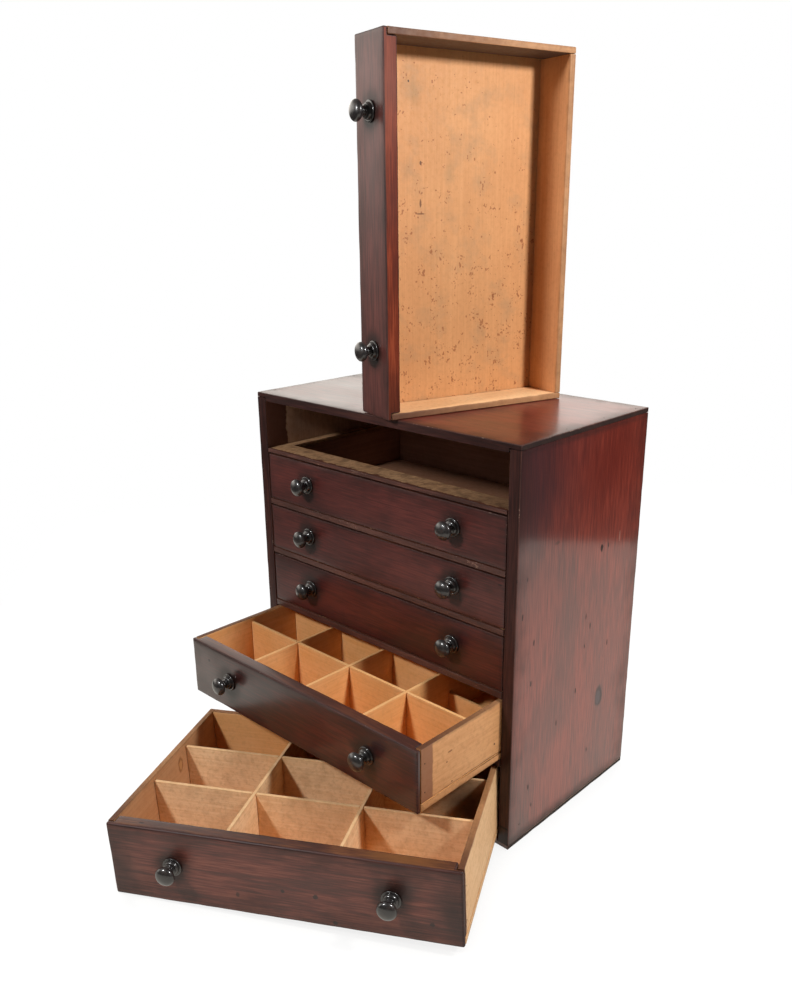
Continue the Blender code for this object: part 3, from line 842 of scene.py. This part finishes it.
@dataclass
class Board:
    """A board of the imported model, dressed as a worn copy of itself in its own frame.

    Faces choose among its finishes, and faces on its arrises take the arris finish if it has one. Joined are the
    ways that its joints face, whose arrises stay sharp. Its grain turns along Y behind runners_from.
    """

    node: str
    body: str
    place: Matrix
    grain: Grain
    finishes: tuple[Finish, ...]
    choose: FaceRule = first_finish
    stain: StainRule = unstained
    knobs: tuple[Vector, ...] = ()
    arris: Finish | None = None
    joined: tuple[tuple[int, int, int], ...] = ()
    runners_from: float = math.inf
    easing: float = 0.8 * MM
    wear: float = 0.4 * MM
    wear_width: float = 14 * MM
    step: float = 9 * MM
    edge_step: float = 4 * MM
    smudge_reach: float = 19 * MM
    shortest_arris: float = 2.5 * MM
    arris_angle: float = math.radians(30)
    joint_facing: float = 0.9
    oblique: float = 0.97

    def build(self, nodes: Nodes) -> bpy.types.Object:
        """Copy the board, wear it, mark it and dress it.

        Args:
            nodes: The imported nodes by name.

        Returns:
            The piece.
        """
        bm = loose_copy(nodes[self.node], self.place)
        arrises = self.ease(bm)
        self.divide(bm)
        self.mark(bm, arrises)
        for face in bm.faces:
            face.material_index = self.choose(face.normal, face.calc_center_median())
            if self.arris and max(map(abs, face.normal)) < self.oblique:
                face.material_index = len(self.finishes)
        bmesh.ops.transform(bm, matrix=self.place, verts=bm.verts)
        finishes = (*self.finishes, self.arris) if self.arris else self.finishes
        piece = add_piece(f"{self.node}_board", bm, self.body, finishes, (self.node,))
        level = piece.modifiers.new("flat_faces", "WEIGHTED_NORMAL")
        level.keep_sharp = True
        return piece

    def ease(self, bm: bmesh.types.BMesh) -> np.ndarray:
        """Round the arrises but those of joined faces.

        Args:
            bm: The board in its own frame.

        Returns:
            The arrises' ends before rounding, as pairs of points.
        """
        arrises = [
            edge
            for edge in bm.edges
            if len(edge.link_faces) == 2
            and edge.calc_face_angle() > self.arris_angle
            and edge.calc_length() > self.shortest_arris
            and not any(
                face.normal.dot(way) > self.joint_facing for face in edge.link_faces for way in self.joined
            )
        ]
        ends = np.array([[list(vert.co) for vert in edge.verts] for edge in arrises])
        bmesh.ops.bevel(
            bm, geom=arrises, offset=self.easing, offset_type="OFFSET", segments=3, profile=0.5, affect="EDGES",
            material=-1, clamp_overlap=True,
        )
        return ends

    def divide(self, bm: bmesh.types.BMesh) -> None:
        """Cut the board's faces across at even steps, and close to its ends, so that wear can follow them.

        Args:
            bm: The board in its own frame.
        """
        corners = np.array([vert.co for vert in bm.verts])
        for axis, (low, high) in enumerate(zip(corners.min(0), corners.max(0))):
            inside = (high - low) - 2 * self.edge_step
            if inside <= 0:
                continue
            count = max(1, round(inside / self.step))
            for cut in np.linspace(low + self.edge_step, high - self.edge_step, count + 1):
                point, normal = Vector(), Vector()
                point[axis], normal[axis] = cut, 1
                geom = bm.verts[:] + bm.edges[:] + bm.faces[:]
                bmesh.ops.bisect_plane(bm, geom=geom, dist=0.001 * MM, plane_co=point, plane_no=normal)

    def mark(self, bm: bmesh.types.BMesh, arrises: np.ndarray) -> None:
        """Write what the finishes read, and rub the arrises down a little.

        Args:
            bm: The board in its own frame.
            arrises: Ends of the arrises before rounding.
        """
        seed = own_seed(self.node)
        offset = Vector([seed.uniform(*limits) for limits in GRAIN_OFFSETS])
        grain = bm.verts.layers.float_vector.new(GRAIN)
        arris = bm.verts.layers.float.new(ARRIS)
        margin = bm.verts.layers.float.new(MARGIN)
        smudge = bm.verts.layers.float.new(SMUDGE)
        stain = bm.loops.layers.float.new(STAIN)
        points = np.array([vert.co for vert in bm.verts])
        centre = Vector(points.mean(axis=0))
        away = distances(points, arrises)
        near = 1 - np.clip(away / ARRIS_REACH, 0, 1)
        bm.normal_update()
        moves = []
        for vert, closeness, fading in zip(bm.verts, near, np.exp(-away / MARGIN_REACH)):
            own = vert.co - centre
            order = (Grain.Y if vert.co.y > self.runners_from else self.grain).value
            vert[grain] = Vector(own[axis] for axis in order) + offset
            vert[arris] = closeness
            vert[margin] = fading
            vert[smudge] = self.smudged(vert.co)
            rub = 0.5 + 0.5 * noise.noise((vert.co + offset) / self.wear_width)
            moves.append(vert.normal * (-self.wear * rub * closeness**4))
        for face in bm.faces:
            for loop in face.loops:
                loop[stain] = self.stain(face.normal, loop.vert.co)
        for vert, move in zip(bm.verts, moves):
            vert.co += move

    def smudged(self, place: Vector) -> float:
        """Tell how dark fingers have made a place.

        Args:
            place: The place in the board's own frame.

        Returns:
            From 0 far from the knobs to 1 at one.
        """
        dark = 0.0
        for knob in self.knobs:
            away = Vector((place.x - knob.x, 2 * (place.y - knob.y), place.z - knob.z)).length
            dark = max(dark, math.exp(-((away / self.smudge_reach) ** 2)))
        return dark


@dataclass
class Nails:
    """Nail heads of one body, set a little into the wood."""

    name: str
    body: str
    radius: float = 0.9 * MM
    taper: float = 0.6
    proud: float = 0.15 * MM
    rounding: float = 0.05 * MM
    rim_angle: float = math.radians(20)
    segments: int = 10
    places: list[tuple[Vector, Vector]] = field(default_factory=list)

    def build(self) -> bpy.types.Object:
        """Make the heads as flat buttons with a rounded edge, in one piece.

        Returns:
            The piece.
        """
        bm = bmesh.new()
        for place, outward in self.places:
            turn = outward.to_track_quat("Z", "Y").to_matrix().to_4x4()
            made = bmesh.ops.create_cone(
                bm, cap_ends=True, segments=self.segments, radius1=self.radius, radius2=self.taper * self.radius,
                depth=2 * self.proud, matrix=Matrix.Translation(place) @ turn,
            )
            rim = dict.fromkeys(edge for vert in made["verts"] for edge in vert.link_edges)
            rim = [edge for edge in rim if edge.calc_face_angle(0) > self.rim_angle]
            bmesh.ops.bevel(
                bm, geom=rim, offset=self.rounding, segments=1, profile=0.5, affect="EDGES", material=-1
            )
        return add_piece(self.name, bm, self.body, (IRON,))


def arc(
    centre: tuple[float, float], radii: tuple[float, float], start: float, end: float, count: int
) -> list[tuple[float, float]]:
    """Draw an elliptic arc of a turned outline.

    Args:
        centre: The arc's middle, as distance from the axis and along it.
        radii: Its half widths both ways.
        start: The angle where it begins.
        end: The angle where it ends.
        count: How many points it has.

    Returns:
        Its points, as distances from the axis and along it.
    """
    angles = np.linspace(start, end, count)
    return [(centre[0] + radii[0] * math.cos(a), centre[1] + radii[1] * math.sin(a)) for a in angles]


@dataclass
class Knob:
    """A turned knob in its drawer's frame, its outline spun round its axis."""

    node: str
    body: str
    place: Matrix
    base_radius: float = 8.5 * MM
    flange: float = 1.6 * MM
    bell_radius: float = 6.8 * MM
    bell_length: float = 2.8 * MM
    bead_radius: float = 5.1 * MM
    bead_length: float = 0.9 * MM
    neck_radius: float = 3.6 * MM
    neck_flare: float = 0.3 * MM
    neck_start: float = 0.7 * MM
    head_radius: float = 8.5 * MM
    head_half: float = 4.6 * MM
    length: float = 17.4 * MM
    tenon_radius: float = 3.2 * MM
    tenon_length: float = 11 * MM
    seat: float = 0.1 * MM
    segments: int = 40

    def outline(self) -> list[tuple[float, float]]:
        """Draw the tenon, flange, bell, bead, neck and flattened ball.

        Returns:
            Distances from the knob's axis and from the drawer front.
        """
        quarter = math.pi / 2
        flange, bead = self.flange / 2, self.bead_length / 2
        waist = self.bead_radius - bead
        foot = self.seat + self.flange
        collar = foot + self.bell_length
        nape = math.asin(self.neck_radius / self.head_radius) - quarter
        return [
            (0.0, -self.tenon_length),
            (self.tenon_radius, -self.tenon_length),
            (self.tenon_radius, self.seat),
            *arc((self.base_radius - flange, self.seat + flange), (flange, flange), -quarter, quarter, 9),
            *arc((waist, foot), (self.bell_radius - waist, self.bell_length), 0, quarter, 7),
            *arc((waist, collar + bead), (bead, bead), -quarter, quarter, 7)[1:],
            (self.neck_radius + self.neck_flare, collar + self.bead_length + self.neck_start),
            *arc((0, self.length - self.head_half), (self.head_radius, self.head_half), nape, quarter, 24),
        ]

    def build(self, nodes: Nodes) -> Vector:
        """Spin the outline and set it on the drawer front.

        Args:
            nodes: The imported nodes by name.

        Returns:
            Where the knob's axis meets the front, in the drawer's frame.
        """
        own = np.array([self.place.inverted() @ vert.co for vert in nodes[self.node].data.vertices])
        middle = (own.min(0) + own.max(0)) / 2
        seat = Vector((middle[0], 0, middle[2]))
        bm = bmesh.new()
        points = [bm.verts.new((radius, 0, out)) for radius, out in self.outline()]
        edges = [bm.edges.new(pair) for pair in zip(points, points[1:])]
        bmesh.ops.spin(
            bm, geom=points + edges, cent=(0, 0, 0), axis=UP, dvec=(0, 0, 0), angle=2 * math.pi,
            steps=self.segments, use_merge=True,
        )
        bmesh.ops.remove_doubles(bm, verts=bm.verts, dist=MERGE_DISTANCE)
        bmesh.ops.recalc_face_normals(bm, faces=bm.faces)
        outward = Matrix.Translation(seat) @ Matrix.Rotation(math.pi / 2, 4, "X")
        bmesh.ops.transform(bm, matrix=self.place @ outward, verts=bm.verts)
        add_piece(f"{self.node}_turned", bm, self.body, (EBONISED,), (self.node,))
        return seat


@dataclass
class Assembly:
    """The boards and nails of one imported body, in a frame of their own."""

    nodes: Nodes
    body: str
    place: Matrix = field(default_factory=Matrix, init=False)

    def dress(
        self,
        node: str,
        grain: Grain,
        finishes: tuple[Finish, ...],
        choose: FaceRule = first_finish,
        stain: StainRule = unstained,
        **more: object,
    ) -> None:
        """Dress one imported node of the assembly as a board, with more of the board's fields where it needs them."""
        Board(node, self.body, self.place, grain, finishes, choose, stain, **more).build(self.nodes)


@dataclass
class Carcass(Assembly):
    """Top, bottom, sides, back and the drawer frames between them, with their nails.

    Nails through the sides' ends are given as Y and Z, those in the top by Y and those round the back by Z.
    """

    frames: int = 5
    half_width: float = 165 * MM
    half_depth: float = 98.5 * MM
    height: float = 380 * MM
    side_thickness: float = 12 * MM
    front_edge: float = 2 * MM
    stained_lip: float = 26 * MM
    lip_fade: float = 9 * MM
    rail_run: float = 6 * MM
    runners_from: float = -72 * MM
    back_margin: float = 9 * MM
    end_nails_mm: tuple[tuple[float, float], ...] = ((-82.6, 20), (-89.1, 3.2), (-30, 5.5), (35, 5.5), (88, 4.6))
    top_nails_mm: tuple[float, ...] = (-80, -28, 30, 84)
    back_nails_mm: tuple[float, ...] = (22, 92, 170, 248, 326)

    def build(self) -> None:
        """Build every board of the carcass and its nails."""
        worn = {"arris": ARRIS_STAIN, "wear": 0.8 * MM, "wear_width": 9 * MM}
        scuffed = {"arris": ARRIS_STAIN, "wear": 1.4 * MM, "wear_width": 11 * MM}
        splintered = {"arris": ARRIS_STAIN, "wear": 0.9 * MM, "wear_width": 5 * MM, "step": 5 * MM}
        top = (TOP_STAIN, DARK_PINE, END_STAIN, STILE_STAIN)
        self.dress("top_board", Grain.X, top, self.top_finish, joined=(DOWN,), **worn)
        bottom = (CARCASS_STAIN, DUSTY_PINE, END_STAIN)
        self.dress(
            "bottom_board", Grain.X, bottom, self.bottom_finish, self.lip_stain, joined=(UP,), **scuffed
        )
        self.dress("back_panel", Grain.Z, (CARCASS_STAIN, DARK_PINE), self.back_finish, arris=ARRIS_STAIN)
        for side, outside in (("left_side", CARCASS_STAIN), ("right_side", RIGHT_SIDE_STAIN)):
            finishes = (outside, DUSTY_PINE, STILE_STAIN)
            self.dress(side, Grain.Z, finishes, self.side_finish, self.lip_stain, joined=(UP, DOWN), **worn)
        for number in range(1, self.frames + 1):
            self.dress(
                f"drawer_frame_{number}", Grain.X, (RAIL_PINE, RAIL_STAIN), self.frame_finish, self.rail_stain,
                runners_from=self.runners_from, easing=0.6 * MM, **splintered,
            )
        self.nails().build()

    def top_finish(self, normal: Vector, centre: Vector) -> int:
        """Choose stain, nearly black on the lapped ends, dull along the front and none underneath.

        Args:
            normal: The way the face looks.
            centre: The face's middle.

        Returns:
            The finish's number.
        """
        if abs(normal.x) > FACING:
            return 2
        if normal.y < -FACING:
            return 3
        return int(normal.z < -FACING and abs(centre.x) < self.half_width - self.side_thickness)

    def bottom_finish(self, normal: Vector, centre: Vector) -> int:
        """Stained in front, nearly black on its lapped ends, bare inside and underneath."""
        return 2 if abs(normal.x) > FACING else int(abs(normal.z) > FACING)

    def side_finish(self, normal: Vector, centre: Vector) -> int:
        """Stained outside, duller along the front edge and bare inside."""
        return 2 if normal.y < -FACING else int(normal.x * centre.x < 0 and abs(normal.x) > FACING)

    def back_finish(self, normal: Vector, centre: Vector) -> int:
        """Stained outside, bare inside."""
        return int(normal.y < -FACING)

    def frame_finish(self, normal: Vector, centre: Vector) -> int:
        """Bare, but for the edge that shows in front."""
        return int(normal.y < -FACING and centre.y < -self.half_depth + self.front_edge)

    def lip_stain(self, normal: Vector, place: Vector) -> float:
        """The stain that reaches into the openings behind the front edges."""
        inward = place.y + self.half_depth
        return ramp(inward, self.stained_lip + self.lip_fade, self.stained_lip - self.lip_fade)

    def rail_stain(self, normal: Vector, place: Vector) -> float:
        """The stain that has run over a rail's front arris."""
        return ramp(place.y + self.half_depth, self.rail_run, 0)

    def nails(self) -> Nails:
        """Set nails through the lapped ends of the top and bottom, and round the back panel.

        Returns:
            The nails.
        """
        nails = Nails("carcass_nails", self.body)
        side = self.half_width
        for hand in HANDS:
            for y, z in self.end_nails_mm:
                nails.places.append((Vector((hand * side, y * MM, z * MM)), Vector((hand, 0, 0))))
            for y in self.top_nails_mm:
                over = Vector((hand * (side - self.side_thickness / 2), y * MM, self.height))
                nails.places.append((over, Vector(UP)))
            for z in self.back_nails_mm:
                behind = Vector((hand * (side - self.back_margin), self.half_depth, z * MM))
                nails.places.append((behind, -Vector(FORWARD)))
        return nails


def surface_middle(node: bpy.types.Object) -> Vector:
    """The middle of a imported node's surface, in which large faces weigh more."""
    faces = node.data.polygons
    return sum((face.center * face.area for face in faces), Vector()) / sum(face.area for face in faces)


def drawer_place(drawer: str, nodes: Nodes) -> Matrix:
    """Find a drawer's own frame from its packed front, knob and bottom.

    Args:
        drawer: The drawer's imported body.
        nodes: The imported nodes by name.

    Returns:
        The frame's place in the row frame.
    """
    bottom = f"{drawer}_bottom" if f"{drawer}_bottom" in nodes else f"{drawer}_bottom_and_back"
    parts = (f"{drawer}_front", f"{drawer}_left_knob", bottom)
    front, knob, floor = (surface_middle(nodes[name]) for name in parts)
    bm = loose_copy(nodes[f"{drawer}_front"], Matrix())
    faces: list[tuple[Vector, float]] = []
    for face in bm.faces:
        for index, (normal, area) in enumerate(faces):
            if abs(normal.dot(face.normal)) > PARALLEL:
                faces[index] = (normal, area + face.calc_area())
                break
        else:
            faces.append((face.normal.copy(), face.calc_area()))
    corners = [vert.co.copy() for vert in bm.verts]
    bm.free()
    faces.sort(key=lambda known: -known[1])
    depthwise, upward = faces[0][0], faces[1][0]
    if depthwise.dot(front - knob) < 0:
        depthwise = -depthwise
    if upward.dot(front - floor) < 0:
        upward = -upward
    turn = Matrix((depthwise.cross(upward), depthwise, upward)).transposed()
    own = np.array([turn.inverted() @ corner for corner in corners])
    low, high = own.min(0), own.max(0)
    origin = turn @ Vector(((low[0] + high[0]) / 2, low[1], low[2]))
    return Matrix.Translation(origin) @ turn.to_4x4()


@dataclass
class Drawer(Assembly):
    """A drawer with its front, box, knobs and nails, in its own frame."""

    half_width: float = 152.5 * MM
    depth: float = 192 * MM
    front_thickness: float = 13 * MM
    lap: float = 4.3 * MM
    stained_band: float = 3 * MM
    band_fade: float = 9 * MM
    stained_rim: float = 60 * MM
    front_easing: float = 0.7 * MM
    front_wear: float = 0.9 * MM
    slat_easing: float = 0.4 * MM
    slat_wear: float = 0.25 * MM
    front_nail_inset: float = 4.5 * MM
    back_nail_inset: float = 3 * MM
    nail_heights: tuple[float, ...] = (0.28, 0.72)
    inside: Finish = CLEAN_PINE
    left_inside: Finish | None = None
    right_inside: Finish | None = None
    outside: Finish = TAN_PINE
    floor: Finish = CLEAN_PINE
    slats: Finish = CLEAN_PINE
    front: Finish = FRONT_STAIN
    rim: Finish = RIM_STAIN

    def __post_init__(self) -> None:
        """Find where the drawer lies."""
        self.place = drawer_place(self.body, self.nodes)

    def named(self, part: str) -> str:
        """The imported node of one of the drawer's parts."""
        return f"{self.body}_{part}"

    def build(self) -> None:
        """Build the drawer's knobs, boards and nails."""
        knobs = [Knob(self.named(f"{hand}_knob"), self.body, self.place) for hand in ("left", "right")]
        seats = tuple(knob.build(self.nodes) for knob in knobs)
        self.dress(
            self.named("front"), Grain.X, (self.front, self.inside, self.rim), self.front_finish,
            knobs=seats, arris=ARRIS_STAIN, easing=self.front_easing, wear=self.front_wear,
        )
        for hand, own in (("left", self.left_inside), ("right", self.right_inside)):
            finishes = (self.outside, own or self.inside, HANDLED_PINE)
            side = self.named(f"{hand}_side")
            self.dress(side, Grain.Y, finishes, self.side_finish, self.side_stain, joined=(FORWARD,))
        floor = (self.outside, self.floor, self.inside)
        whole = self.named("bottom_and_back")
        if whole in self.nodes:
            self.dress(whole, Grain.X, floor, self.floor_finish)
        else:
            box, ends = (self.outside, self.inside, HANDLED_PINE), (*SIDEWAYS, DOWN)
            self.dress(self.named("bottom"), Grain.X, floor, self.floor_finish, joined=(UP,))
            self.dress(self.named("back"), Grain.X, box, self.back_finish, joined=ends)
        for name in sorted(self.nodes):
            if name.startswith((self.named("long_slat"), self.named("cross_slat"))):
                grain = Grain.X if "long" in name else Grain.Y
                self.dress(name, grain, (self.slats,), easing=self.slat_easing, wear=self.slat_wear)
        self.nails(seats[0].z * 2).build()

    def front_finish(self, normal: Vector, centre: Vector) -> int:
        """Stained, but bare on the inner face and thinner on the rim."""
        return 1 if normal.y > FACING else 2 if normal.z > FACING else 0

    def side_finish(self, normal: Vector, centre: Vector) -> int:
        """One finish outside, one inside and one on the rim."""
        return 2 if normal.z > FACING else int(normal.x * centre.x < 0)

    def floor_finish(self, normal: Vector, centre: Vector) -> int:
        """One finish on the floor, one on the back's inner face and one outside."""
        return 1 if normal.z > FACING else 2 if normal.y < -FACING else 0

    def back_finish(self, normal: Vector, centre: Vector) -> int:
        """Mellow inside, browned on the rim, pale outside."""
        return 2 if normal.z > FACING else int(normal.y < -FACING)

    def side_stain(self, normal: Vector, place: Vector) -> float:
        """Stain the sides next to the front: a band outside, and a long fading run on the rim.

        Args:
            normal: The way the face looks.
            place: A place on it.

        Returns:
            Over 0.5 where the stain is.
        """
        if normal.z > FACING:
            return ramp(place.y, self.front_thickness + self.stained_rim, self.front_thickness)
        if normal.x * place.x > 0:
            start = self.lap + self.stained_band
            return ramp(place.y, start + self.band_fade, start - self.band_fade)
        return 0.0

    def nails(self, height: float) -> Nails:
        """Set nails through the sides into the front and the back.

        Args:
            height: The drawer's height.

        Returns:
            The nails.
        """
        nails = Nails(self.named("nails"), self.body)
        for hand in HANDS:
            for y in (self.lap + self.front_nail_inset, self.depth - self.back_nail_inset):
                for share in self.nail_heights:
                    spot = self.place @ Vector((hand * self.half_width, y, share * height))
                    nails.places.append((spot, self.place.to_3x3() @ Vector((hand, 0, 0))))
        return nails


@dataclass
class Studio:
    """Camera at the photograph's viewing angle, two soft lamps, a pale floor and a white surround.

    A lamp is its name, its place and its level, which is how brightly it lights a white surface that faces it a
    metre off, where 1 renders as white.
    """

    eye: Triple = (0.58073, -0.66818, 0.55597)
    gaze: Triple = (-0.63462, 0.69953, -0.32850)
    lens: float = 33.624
    sensor: float = 36.0
    shift: tuple[float, float] = (-0.0300, 0.0327)
    clip_start: float = 0.01
    lamps: tuple[tuple[str, Triple, float], ...] = (
        ("side_lamp", (0.79, 0.02, 0.83), 0.81),
        ("front_lamp", (-0.115, -0.93, 0.85), 0.68),
    )
    lamp_radius: float = 0.055
    ambient: float = 0.08
    warm_white: str = "#fff8ef"
    wall_way: Triple = (-0.87, 0.5, 0.0)
    wall_level: float = 2.3
    wall_spread: tuple[float, float] = (0.05, 0.35)
    wall_foot: tuple[float, float] = (-0.08, 0.15)
    wall_head: tuple[float, float] = (0.6, 0.35)
    wall_above: float = 0.12
    floor_turn: float = math.radians(51)
    floor_low: tuple[float, float] = (-0.58, -0.8)
    floor_high: tuple[float, float] = (0.863, 0.9)
    floor_corner: float = 0.15
    paper: str = "#efece4"
    mirrored_paper: str = "#e3ddd2"
    paper_glow: float = 0.88
    shadow_reach: float = 0.06
    shadow_span: tuple[float, float] = (0.35, 0.85)
    shadow_levels: tuple[float, float] = (0.95, 1.14)

    def build(self) -> None:
        """Set up everything round the object."""
        self.camera()
        for name, place, level in self.lamps:
            data = bpy.data.lights.new(name, "POINT")
            data.shadow_soft_size = self.lamp_radius
            data.energy = level * 4 * math.pi**2
            self.hang(name, data).location = place
        self.surround()
        self.floor()
        bpy.context.scene.view_settings.view_transform = "Standard"

    def hang(self, name: str, data: bpy.types.ID) -> bpy.types.Object:
        """Put an object with this data into the scene.

        Args:
            name: The object's name.
            data: A camera, a light or a mesh.

        Returns:
            The object.
        """
        hung = bpy.data.objects.new(name, data)
        bpy.context.scene.collection.objects.link(hung)
        return hung

    def camera(self) -> None:
        """Place the camera."""
        data = bpy.data.cameras.new("camera")
        data.sensor_width = self.sensor
        data.lens = self.lens
        data.shift_x, data.shift_y = self.shift
        data.clip_start = self.clip_start
        camera = self.hang("camera", data)
        camera.location = self.eye
        camera.rotation_euler = Vector(self.gaze).to_track_quat("-Z", "Y").to_euler()
        bpy.context.scene.camera = camera

    def seen_directly(self, tree: Tree) -> tuple[Socket, Socket]:
        """Tell rays from the eye and through glass, and rays off polish, from those that light the object.

        Args:
            tree: The node tree that asks.

        Returns:
            1 for a ray from the eye or through glass, and 1 for a ray off polish.
        """
        path = add(tree, "LightPath")
        rays = {0: path["Is Camera Ray"], 1: path["Is Transmission Ray"]}
        return add(tree, "Math", rays, operation="MAXIMUM")[0], path["Is Glossy Ray"]

    def surround(self) -> None:
        """A white surround to look at, a pale wall on the left for the polish, and weak light for the rest."""
        world = bpy.data.worlds.new("surround")
        world.use_nodes = True
        bpy.context.scene.world = world
        tree = world.node_tree
        direct, glossy = self.seen_directly(tree)
        way = add(tree, "TexCoord")["Generated"]
        facing = add(tree, "VectorMath", {0: way, 1: self.wall_way}, operation="DOT_PRODUCT")["Value"]
        start, full = self.wall_spread
        reach = {"Value": facing, "From Min": start, "From Max": full}
        wall = add(tree, "MapRange", reach, interpolation_type=Fade.SOFT.value)[0]
        height = add(tree, "SeparateXYZ", {0: way})["Z"]
        for (start, full), least in ((self.wall_foot, 0.0), (self.wall_head, self.wall_above)):
            limits = {"Value": height, "From Min": start, "From Max": full, "To Min": least}
            within = add(tree, "MapRange", limits)[0]
            wall = add(tree, "Math", {0: wall, 1: within}, operation="MULTIPLY")[0]
        wall = add(tree, "Math", {0: wall, 1: self.wall_level, 2: self.ambient}, operation="MULTIPLY_ADD")[0]
        seen = add(tree, "Mix", {0: glossy, 2: self.ambient, 3: wall})[0]
        seen = add(tree, "Math", {0: seen, 1: direct}, operation="MAXIMUM")[0]
        tint = add(tree, "Mix", {0: direct, 6: linear(self.warm_white), 7: WHITE}, data_type="RGBA")[2]
        set_inputs(tree, tree.nodes["Background"], {"Color": tint, "Strength": seen})

    def floor(self) -> None:
        """Lay a pale sheet of paper with rounded corners, staged outside the object."""
        bm = bmesh.new()
        bmesh.ops.create_grid(bm, x_segments=1, y_segments=1, size=0.5)
        low, high = Vector((*self.floor_low, 0)), Vector((*self.floor_high, 0))
        spread = Matrix.Translation((low + high) / 2) @ Matrix.Diagonal((*(high - low).xy, 1, 1))
        bmesh.ops.transform(bm, matrix=Matrix.Rotation(self.floor_turn, 4, "Z") @ spread, verts=bm.verts)
        bmesh.ops.bevel(
            bm, geom=bm.verts[:], offset=self.floor_corner, segments=8, profile=0.5, affect="VERTICES", material=-1
        )
        mesh = bpy.data.meshes.new("floor")
        bm.to_mesh(mesh)
        bm.free()
        self.hang("floor", mesh)
        mesh.materials.append(self.white_paper())

    def white_paper(self) -> bpy.types.Material:
        """Matt paper, white to the eye and in the polish, that keeps a light shadow round the object's foot.

        Returns:
            The material.
        """
        paper = bpy.data.materials.new("white_paper")
        paper.use_nodes = True
        tree = paper.node_tree
        tree.nodes.remove(tree.nodes["Principled BSDF"])
        matt = add(tree, "BsdfDiffuse", {"Color": linear(self.paper)})[0]
        direct, glossy = self.seen_directly(tree)
        glow = add(tree, "Mix", {0: direct, 6: linear(self.mirrored_paper), 7: WHITE}, data_type="RGBA")[2]
        near = add(tree, "AmbientOcclusion", {"Distance": self.shadow_reach}, samples=8)["AO"]
        (deep, clear), (dim, full) = self.shadow_span, self.shadow_levels
        limits = {"Value": near, "From Min": deep, "From Max": clear, "To Min": dim, "To Max": full}
        level = add(tree, "MapRange", limits)[0]
        white = add(tree, "Emission", {"Color": glow, "Strength": level})[0]
        shown = add(tree, "MixShader", {0: self.paper_glow, 1: matt, 2: white})[0]
        seen = add(tree, "Math", {0: direct, 1: glossy}, operation="MAXIMUM")[0]
        sheet = add(tree, "MixShader", {0: seen, 1: matt, 2: shown})[0]
        set_inputs(tree, tree.nodes["Material Output"], {"Surface": sheet})
        return paper


def main() -> None:
    """Build the studio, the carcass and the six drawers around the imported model."""
    logging.basicConfig(level=logging.INFO, format="%(message)s")
    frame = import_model()
    nodes = frame["nodes"]
    Studio().build()
    Carcass(nodes, "carcass").build()
    Drawer(
        nodes, "drawer_1", stained_rim=110 * MM, front_easing=1.2 * MM, inside=WARM_PINE, left_inside=DIRT_AND_SHADE_PINE,
        right_inside=TOP_LIT_PALE_PINE, floor=SPECKED_PINE, front=FIRST_FRONT_STAIN, rim=FIRST_RIM_STAIN,
    ).build()
    for number, front in ((2, FRONT_STAIN), (3, FRONT_STAIN), (4, FOURTH_FRONT_STAIN)):
        Drawer(nodes, f"drawer_{number}", inside=DARK_PINE, floor=DIM_PINE, front=front).build()
    Drawer(
        nodes, "drawer_5", stained_band=14 * MM, stained_rim=130 * MM, front_easing=1.2 * MM,
        front=FIFTH_FRONT_STAIN,
    ).build()
    Drawer(
        nodes, "drawer_6", front_easing=1.9 * MM, left_inside=KNOTTY_PINE, outside=PALE_PINE, slats=ROUGH_PINE,
        front=LOWEST_FRONT_STAIN, rim=LOWEST_RIM_STAIN,
    ).build()


if __name__ == "__main__":
    main()
